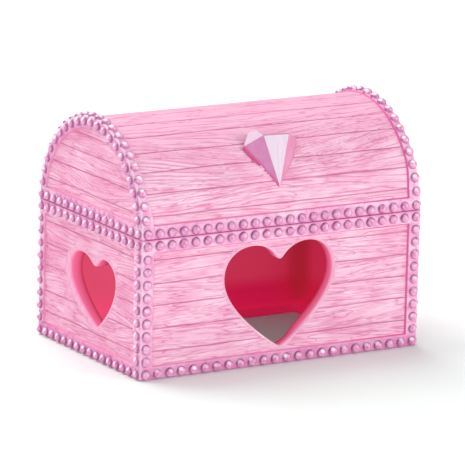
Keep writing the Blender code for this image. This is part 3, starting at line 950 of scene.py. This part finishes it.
def make_gem():
    """Half gem with its edges softened and its root sunk in the lid."""
    bm = bmesh.new()
    top = {name: bm.verts.new(place) for name, place in GEM_CORNERS.items()}
    root = {}
    for name in GEM_OUTLINE:
        across, slope, _ = GEM_CORNERS[name]
        lid = sqrt(GEM_SEAT ** 2 - slope ** 2) - GEM_SEAT
        root[name] = bm.verts.new((across, slope, lid - GEM_SUNK))
    for facet in GEM_FACETS:
        bm.faces.new([top[name] for name in facet])
    for name, after in zip(GEM_OUTLINE, GEM_OUTLINE[1:] + GEM_OUTLINE[:1]):
        bm.faces.new((top[after], top[name], root[name], root[after]))
    bm.faces.new([root[name] for name in GEM_OUTLINE])
    bmesh.ops.recalc_face_normals(bm, faces=bm.faces)
    bmesh.ops.bevel(bm, geom=bm.edges, offset=GEM_BEVEL, segments=2, profile=0.5, affect="EDGES")
    mesh = bpy.data.meshes.new("gem")
    bm.to_mesh(mesh)
    bm.free()
    mesh.transform(gem_lie())
    return add_object("gem", mesh, gem_material())


def gem_lie():
    """Matrix that lays the gem on the lid."""
    sine, cosine = sin(GEM_LIFT), cos(GEM_LIFT)
    foot = arc_point(GEM_SEAT, GEM_LIFT)
    return Matrix(((1, 0, 0, 0), (0, sine, -cosine, foot[0]), (0, cosine, sine, foot[1]), (0, 0, 0, 1)))


def add_camera():
    """Camera at the photo's viewing angle."""
    data = bpy.data.cameras.new("camera")
    data.lens = CAMERA_LENS
    data.sensor_width = CAMERA_SENSOR
    data.clip_end = CAMERA_SIGHT
    camera = add_object("camera", data)
    turn = Matrix.Rotation(-CAMERA_TURN, 4, "Z") @ Matrix.Rotation(pi / 2 - CAMERA_TILT, 4, "X")
    camera.matrix_world = Matrix.Translation(CAMERA_PLACE) @ turn @ Matrix.Rotation(CAMERA_ROLL, 4, "Z")
    bpy.context.scene.camera = camera


def add_floor():
    """Large pale floor, whose far edge is out of the picture."""
    corners = FLOOR_SIZE * np.array([(-1, -1, 0), (1, -1, 0), (1, 1, 0), (-1, 1, 0)])
    floor = add_object("floor", new_mesh("floor", [corners], [(0, 1, 2, 3)]), floor_material())


def colour(code):
    """Linear colour from a web colour code."""
    parts = [int(code[i:i + 2], 16) / 255 for i in (1, 3, 5)]
    return (*(((part + 0.055) / 1.055) ** 2.4 if part > 0.04045 else part / 12.92 for part in parts), 1)


class Nodes:
    """Short calls for building one node material, with colours by their web codes."""

    def __init__(self, name):
        self.material = bpy.data.materials.new(name)
        self.material.use_nodes = True
        self.tree = self.material.node_tree
        self.tree.nodes.clear()
        self.surface = self.add("ShaderNodeBsdfPrincipled")
        output = self.add("ShaderNodeOutputMaterial")
        self.tree.links.new(self.surface.outputs["BSDF"], output.inputs["Surface"])

    def add(self, kind, inputs=(), **settings):
        """New node with its settings, and its inputs linked or set."""
        node = self.tree.nodes.new(kind)
        for key, value in settings.items():
            setattr(node, key, value)
        for key, value in dict(inputs).items():
            self.put(node.inputs[key], value)
        return node

    def put(self, socket, value):
        """Links a socket, or sets its value."""
        if isinstance(value, bpy.types.NodeSocket):
            self.tree.links.new(value, socket)
        else:
            socket.default_value = colour(value) if isinstance(value, str) else value

    def give(self, name, value):
        """Links or sets a value of the shader."""
        self.put(self.surface.inputs[name], value)

    def place(self):
        """Place on the object."""
        return self.add("ShaderNodeTexCoord").outputs["Object"]

    def attribute(self, name, output="Vector"):
        """Value stored on the mesh."""
        return self.add("ShaderNodeAttribute", attribute_name=name).outputs[output]

    def split(self, vector):
        """The three parts of a vector."""
        return self.add("ShaderNodeSeparateXYZ", {0: vector}).outputs[:]

    def math(self, operation, *values):
        """Maths on numbers."""
        return self.add("ShaderNodeMath", enumerate(values), operation=operation).outputs[0]

    def linear(self, value, factor, offset):
        """Number times a factor, plus an offset."""
        return self.math("MULTIPLY_ADD", value, factor, offset)

    def product(self, *values):
        """Several numbers multiplied."""
        total = values[0]
        for value in values[1:]:
            total = self.math("MULTIPLY", total, value)
        return total

    def noise(self, vector, scale, detail=2, roughness=0.5):
        """Noise about 0.5, its scale given for each direction."""
        scaled = self.add("ShaderNodeVectorMath", {0: vector, 1: scale}, operation="MULTIPLY").outputs[0]
        inputs = {"Vector": scaled, "Scale": 1, "Detail": detail, "Roughness": roughness}
        return self.add("ShaderNodeTexNoise", inputs).outputs["Fac"]

    def rise(self, value, low, high):
        """0 below low, 1 above high, smooth between; low may be the greater."""
        inputs = {"Value": value, "From Min": low, "From Max": high}
        return self.add("ShaderNodeMapRange", inputs, interpolation_type="SMOOTHSTEP").outputs[0]

    def mix(self, share, start, end):
        """Colour between two."""
        return self.add("ShaderNodeMix", {0: share, 6: start, 7: end}, data_type="RGBA").outputs[2]

    def bump(self, height, distance, strength):
        """Bump on the surface's normal."""
        inputs = {"Height": height, "Distance": distance, "Strength": strength}
        self.give("Normal", self.add("ShaderNodeBump", inputs).outputs[0])


def casting_material():
    """Pearly pink, deeper in the grooves, with a painted sheen and a painted highlight on the corner rib, and
    crimson inside, lit by a painted glow.
    """
    n = Nodes("resin")
    planks, veins, fibres = (n.math("ABSOLUTE", part) for part in n.split(n.attribute("lines"))[:3])
    to_panel, to_seam, inside = n.split(n.attribute("edges"))
    to_seam = n.math("ABSOLUTE", to_seam)
    grain = n.attribute("grain")
    rib = n.split(grain)[2]
    facing = n.split(n.add("ShaderNodeNewGeometry").outputs["Normal"])
    front = n.rise(facing[1], 0.1, -0.9)

    # Pale streaks, partly the pearl paint's own dry-brushed streaks and partly a painted sheen; the scales of
    # these noises are per millimetre along and across the planks
    streak = n.noise(grain, (0.045, 1.4, 0), 4, 0.6)
    brush = n.noise(grain, (0.09, 2.7, 0))
    broad = n.noise(grain, (0.05, 0.13, 0))
    pale = n.linear(streak, 0.4, n.linear(brush, 0.35, n.product(broad, 0.3)))
    # Painted sheen: faces turned to the front are a little paler
    pale = n.math("ADD", pale, n.linear(front, 0.06, -0.03))

    # Painted sheen: the top of the lid, turned up, has a more even tone
    upper = n.rise(facing[2], 0.65, 0.9)
    evener = n.product(n.math("SUBTRACT", 0.53, pale), 0.7)
    pale = n.linear(upper, evener, pale)
    base = n.mix(n.rise(pale, 0.38, 0.7), "#e78fb6", "#f3cfe0")

    on_panel = n.rise(to_panel, 0.0, 0.5)
    worn = n.noise(grain, (0.04, 0.25, 0))
    hair = n.noise(grain, (0.04, 0.85, 0), roughness=0.4)
    hair = n.rise(n.math("ABSOLUTE", n.math("SUBTRACT", hair, 0.5)), 0.028, 0.004)
    hair = n.product(hair, n.rise(upper, 1.2, 0.3))
    plank = n.product(n.rise(planks, 0.42, 0.1), n.rise(worn, 0.2, 0.45))
    vein = n.product(n.rise(veins, 0.38, 0.06), n.rise(worn, 0.3, 0.5))
    fibre = n.product(n.rise(fibres, 0.3, 0.05), n.rise(worn, 0.7, 0.4), n.rise(upper, 1.4, 0.3))
    for mask, share, shade in (
        (hair, 0.3, "#cc6296"), (fibre, 0.38, "#d0609a"), (vein, 0.55, "#c85490"), (plank, 0.7, "#bc4680"),
    ):
        base = n.mix(n.product(mask, share, on_panel), base, shade)

    # The bead band, with painted shade on the ends, the step down to the panel, the rib at the corners
    # painted pale as a painted highlight, and the seam
    patches = n.rise(n.noise(grain, (0.4, 0.4, 0)), 0.48, 0.6)
    # Painted shade on the ends: faces turned to the ends get more dark patches in the band and, above the
    # seam, a deeper band; the band is deeper at the foot too
    on_end = n.rise(n.math("ABSOLUTE", facing[0]), 0.5, 0.9)
    band = n.mix(n.rise(broad, 0.35, 0.65), "#eba2c9", "#f3c3dc")
    band = n.mix(n.product(patches, n.linear(on_end, 0.3, 0.3)), band, "#bf559c")
    along, deep, up = n.split(n.place())
    over_seam = n.rise(up, 56 * MM, 66 * MM)
    at_foot = n.rise(up, 6.5 * MM, 4.5 * MM)
    deeper = n.math("MAXIMUM", n.product(on_end, over_seam, 0.4), n.product(at_foot, 0.45))
    band = n.mix(deeper, band, "#c86aa6")
    band = n.mix(n.rise(to_seam, 1.0, 0.3), band, "#de86b6")
    base = n.mix(n.rise(to_panel, 0.15, -0.25), base, band)
    step = n.product(n.rise(to_panel, -0.3, 0.0), n.rise(to_panel, 0.55, 0.15))
    step = n.product(step, n.linear(n.rise(along, 20 * MM, 55 * MM), 0.35, 0.55))
    base = n.mix(step, base, "#dc4c96")
    # Painted highlight: the rib along the rounded corners is pale, most above the seam
    base = n.mix(n.product(rib, n.linear(over_seam, 0.4, 0.45)), base, "#eed2e6")
    base = n.mix(n.rise(to_seam, 0.26, 0.08), base, "#b04a90")

    # Crimson inside, and a painted glow in it and on the walls of the hearts: emission that stands in for the
    # light there, with painted shade in the far corners and near the floor
    from_middle, from_centre = (n.math("ABSOLUTE", part) for part in (along, deep))
    # Painted shade in the inside corners at the right end
    corner = n.product(n.rise(from_middle, 48 * MM, 58 * MM), n.rise(from_centre, 27 * MM, 36 * MM))
    corner = n.product(corner, n.rise(along, -20 * MM, 30 * MM))
    clouds = n.noise(grain, (0.05, 0.05, 0))
    crimson = n.mix(clouds, "#cf2450", "#c01a40")
    rim = n.mix(n.rise(inside, 0.0, 0.35), base, "#e0628e")
    base = n.mix(n.rise(inside, 0.5, 1.0), rim, crimson)
    leftward = n.rise(along, 10 * MM, -40 * MM)
    rightward = n.rise(along, 35 * MM, 58 * MM)
    # Painted glow colours, brighter to the left and darker to the right, and another set lower down
    painted_glow, low = (
        n.mix(leftward, n.mix(rightward, middle, right), left)
        for middle, right, left in (("#972b46", "#82203a", "#aa4664"), ("#900b38", "#84102c", "#bc4468"))
    )
    painted_glow = n.mix(n.rise(up, 17 * MM, 9 * MM), painted_glow, low)
    painted_glow = n.mix(corner, painted_glow, "#521014")
    # A painted glow colour of its own on the floor
    painted_glow = n.mix(n.rise(up, 4.5 * MM, 4.05 * MM), painted_glow, "#920f37")
    # Painted light on the inside, low down and toward the back
    painted_light_inside = n.product(n.rise(inside, 0.9, 1.0), n.rise(up, 56 * MM, 36 * MM), n.rise(deep, -30 * MM, 0))
    # Painted glow on the walls of the hearts, pink outside and deep red inside
    painted_wall_glow = n.product(n.rise(inside, 0.0, 0.12), n.rise(inside, 1.0, 0.75))
    wall = n.mix(n.rise(inside, 0.05, 0.6), "#e492ba", "#b04468")
    n.give("Emission Color", n.mix(painted_wall_glow, painted_glow, wall))
    n.give("Emission Strength", n.math("MAXIMUM", n.product(painted_wall_glow, 0.35), painted_light_inside))

    n.give("Base Color", base)
    n.give("Roughness", n.linear(brush, 0.2, n.linear(inside, 0.3, 0.34)))
    n.surface.inputs["Specular IOR Level"].default_value = 0.4
    fine = n.linear(brush, 0.6, n.product(streak, 0.5))
    cut = n.product(n.math("MAXIMUM", hair, vein), 0.6)
    n.bump(n.math("SUBTRACT", fine, n.product(cut, on_panel)), 0.1 * MM, 0.6)
    return n.material


def bead_material():
    """Glossy pink of the beads, with a mauve ring round each foot that is partly deeper paint and partly
    painted shade, painted shade darkest on one side, and a painted highlight.
    """
    n = Nodes("resin beads")
    reach, toward_shade, tint = n.split(n.attribute("bead"))
    painted_highlight = n.attribute("painted_highlight", "Fac")
    clouds = n.noise(n.place(), (700, 700, 700))
    pale = n.mix(tint, "#e896c2", "#d26eaa")
    pale = n.mix(n.product(n.rise(clouds, 0.35, 0.65), 0.5), pale, "#efc4de")
    # Painted shade: the ring round the foot, partly deeper paint there, and one side of each bead darker
    ring = n.product(n.rise(reach, 0.68, 0.93), n.linear(toward_shade, 0.14, 0.54))
    side = n.product(n.rise(toward_shade, 0.1, 0.8), 0.22)
    shade = n.mix(tint, "#a85590", "#8e3478")
    base = n.mix(n.math("ADD", ring, side), pale, shade)
    # Painted highlight on each bead
    base = n.mix(painted_highlight, base, "#fff4fb")
    n.give("Base Color", base)
    n.give("Roughness", n.linear(clouds, 0.15, 0.15))
    n.surface.inputs["Coat Weight"].default_value = 0.5
    n.surface.inputs["Coat Roughness"].default_value = 0.08
    n.bump(clouds, 0.05 * MM, 0.4)
    return n.material


def gem_material():
    """Pearly white with fine streaks; each facet is tinted by the way it faces, as painted light and shade:
    left facets mauve with a deep pink edge, right ones pink, back ones darker.
    """
    n = Nodes("resin gem")
    place = n.place()
    normal = n.split(n.add("ShaderNodeNewGeometry").outputs["True Normal"])
    streaks = n.noise(place, (1500, 150, 150), 3)
    clouds = n.noise(place, (150, 150, 150), 3)
    white = n.mix(streaks, "#c8acc4", "#e6d2e2")
    mauve = n.mix(clouds, "#b65694", "#dc96c0")
    strip = n.mix(clouds, "#c03074", "#cc4684")
    pink = n.mix(clouds, "#dc7aa8", "#e49ebe")
    crown = n.mix(clouds, "#c09ab4", "#d2b4c6")
    # Painted light and shade: facets take their tint by the way they face, white to the front, pink to the
    # right, mauve to the left, greyer mauve facing up, deep pink facing up and forward
    base = n.mix(n.rise(normal[0], 0.2, 0.35), white, pink)
    base = n.mix(n.rise(normal[0], -0.25, -0.4), base, n.mix(n.rise(normal[2], 0.3, 0.5), mauve, crown))
    base = n.mix(n.product(n.rise(normal[2], 0.4, 0.55), n.rise(normal[1], -0.3, -0.5)), base, strip)
    left, point, ridge = (gem_lie() @ Vector(GEM_CORNERS[name]) for name in ("left", "point", "left ridge"))
    inward = (ridge - left) - (ridge - left).project(point - left)
    inward.normalize()
    from_edge = n.add("ShaderNodeVectorMath", {0: place, 1: inward}, operation="DOT_PRODUCT").outputs["Value"]
    from_edge = n.math("SUBTRACT", from_edge, inward.dot(left))
    turned = n.product(n.rise(normal[0], -0.25, -0.4), n.rise(normal[1], 0, -0.2))
    base = n.mix(n.product(n.rise(from_edge, STRIP_WIDTH, 0), turned, 0.85), base, strip)
    # Painted shade on the facets facing the back
    base = n.mix(n.rise(normal[1], 0.05, 0.2), base, "#b0709a")
    n.give("Base Color", base)
    n.give("Roughness", n.linear(streaks, 0.2, 0.3))
    n.bump(streaks, 0.06 * MM, 0.5)
    return n.material


def floor_material():
    """Plain white card, with a cool painted shade under the chest's open floor."""
    n = Nodes("floor")
    place = n.place()
    grain = n.noise(place, (40, 40, 40), 4)
    along, deep = (n.math("ABSOLUTE", part) for part in n.split(place)[:2])
    # Painted shade on the card under the chest's open floor, tinted cool against the crimson painted glow
    under = n.product(n.rise(along, 58 * MM, 52 * MM), n.rise(deep, 36 * MM, 30 * MM))
    card = n.mix(grain, "#f1f9f5", "#f3fbf7")
    n.give("Base Color", n.mix(under, card, "#b8e6e4"))
    n.give("Roughness", n.linear(grain, 0.1, 0.7))
    return n.material


def add_light(name, place, size, power):
    """Square area light aimed at the middle of the chest."""
    data = bpy.data.lights.new(name, "AREA")
    data.size = size
    data.energy = power
    light = add_object(name, data)
    light.location = place
    light.rotation_euler = (Vector(LIGHT_AIM) - Vector(place)).to_track_quat("-Z", "Y").to_euler()


def add_world():
    """Even white light from all round."""
    world = bpy.data.worlds.new("studio")
    world.use_nodes = True
    background = world.node_tree.nodes["Background"]
    background.inputs["Color"].default_value = (1, 1, 1, 1)
    background.inputs["Strength"].default_value = WORLD_STRENGTH
    bpy.context.scene.world = world


casting = make_casting()
for piece in (casting, make_beads(), make_gem()):
    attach(piece, "root")
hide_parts("chest")

add_floor()
add_world()
for name, (place, size, power) in LIGHTS.items():
    add_light(name, place, size, power)
bpy.context.scene.view_settings.view_transform = "Standard"
add_camera()
